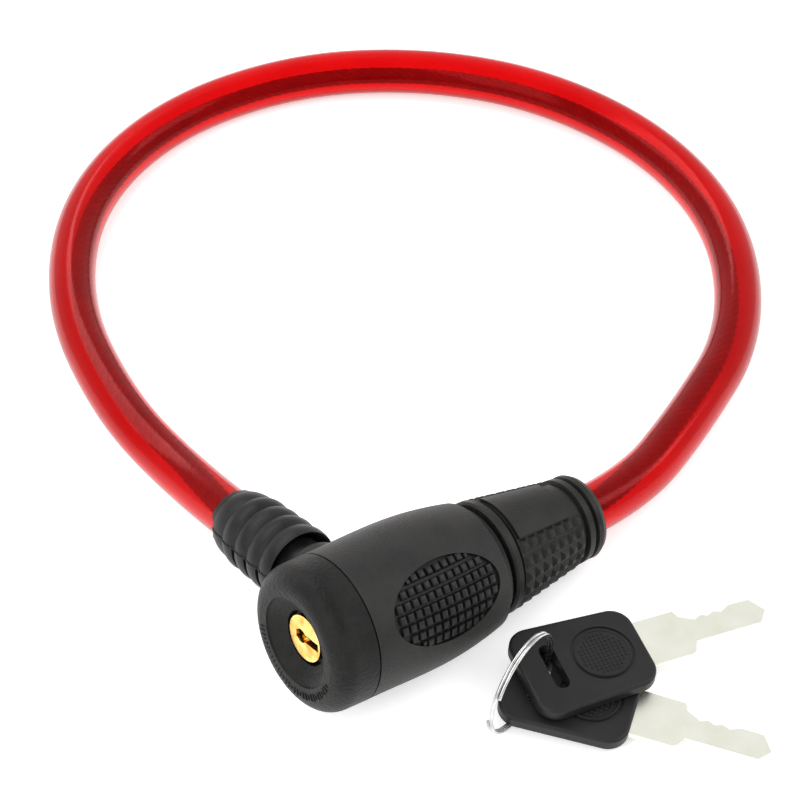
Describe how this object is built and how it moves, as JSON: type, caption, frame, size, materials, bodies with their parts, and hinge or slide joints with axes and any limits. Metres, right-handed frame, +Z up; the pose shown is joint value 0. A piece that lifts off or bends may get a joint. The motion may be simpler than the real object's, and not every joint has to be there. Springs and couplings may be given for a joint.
{
  "type": "cable lock",
  "caption": "Short cable lock: a keyed barrel joined to a clear red sheathed steel cable that loops round and plugs into it, with spare keys on a split ring.",
  "frame": {"origin": "centre of the cable's loop, on the surface the lock lies on", "axes": "+X along the lock's axis in plan, from the key face towards the cable plug; +Y from the lock across the loop; +Z up"},
  "size_m": [0.1882, 0.2535, 0.0401],
  "materials": {
    "rubber": "satin black moulded cap",
    "leathery": "fine-grained satin black",
    "boot_rubber": "satin black",
    "sheath": "clear glossy red vinyl over steel rope",
    "rope_steel": "twisted wire",
    "core": "moulded",
    "bushing": "moulded",
    "seal": "soft",
    "brass": "turned",
    "wafer": "stamped",
    "spring": "drawn wire",
    "cam_steel": "pressed",
    "latch_steel": "pressed",
    "pin_steel": "turned",
    "ferrule": "crimped",
    "grip": "satin black with pyramid grip",
    "ring_steel": "polished wire",
    "bow": "satin black",
    "blade": "bright nickel finish"
  },
  "bodies": {
    "lock_body": {"end_cap": "rubber", "cover": "leathery", "front_core": "core", "rear_core": "core", "mouth_bushing": "bushing", "dust_seal": "seal", "cable_boot": "boot_rubber", "fixed_ferrule": "ferrule", "cross_pin": "pin_steel", "latch_spring": "spring", "cable_sheath": "sheath", "cable_rope": "rope_steel"},
    "key_cylinder": {"key_plug": "brass", "wafers": "wafer", "wafer_springs": "spring", "cam": "cam_steel", "cam_screw": "cam_steel"},
    "latch": {"latch_plate": "latch_steel"},
    "cable_plug": {"locking_pin": "pin_steel", "plug_ferrule": "ferrule", "grip_sleeve": "grip"},
    "key_ring": {"split_ring": "ring_steel"},
    "lower_key": {"lower_key_bow": "bow", "lower_key_blade": "blade"},
    "upper_key": {"upper_key_bow": "bow", "upper_key_blade": "blade"}
  },
  "joints": [
    {"name": "key_turn", "type": "hinge", "parent": "lock_body", "child": "key_cylinder", "pos_m": [-0.09254, -0.0874, 0.02415], "axis": [-0.9839, 0, 0.1788], "range_deg": [0, 90]},
    {"name": "latch_slide", "type": "slide", "parent": "lock_body", "child": "latch", "axis": [0.1742, 0.225, 0.9587], "range_m": [-0.0017, 0], "deforming": ["latch_spring"]},
    {"name": "plug_slide", "type": "slide", "parent": "lock_body", "child": "cable_plug", "axis": [0.9839, 0, -0.1788], "range_m": [0, 0.025], "deforming": ["cable_sheath", "cable_rope"]},
    {"name": "ring_place", "type": "slide", "parent": "lock_body", "child": "key_ring", "axis": [0.5736, -0.8192, 0], "range_m": [0, 0.06]},
    {"name": "lower_key_swing", "type": "hinge", "parent": "key_ring", "child": "lower_key", "pos_m": [-0.04759, -0.11537, 0.00445], "axis": [0.0622, -0.0419, 0.9972], "range_deg": [-25, 3]},
    {"name": "upper_key_swing", "type": "hinge", "parent": "key_ring", "child": "upper_key", "pos_m": [-0.04551, -0.11465, 0.0081], "axis": [0.0622, -0.0419, 0.9972], "range_deg": [-60, 5]}
  ],
  "couplings": [
    {"joint": "latch_slide", "follows": "key_turn", "m_per_rad": -0.0010823}
  ]
}
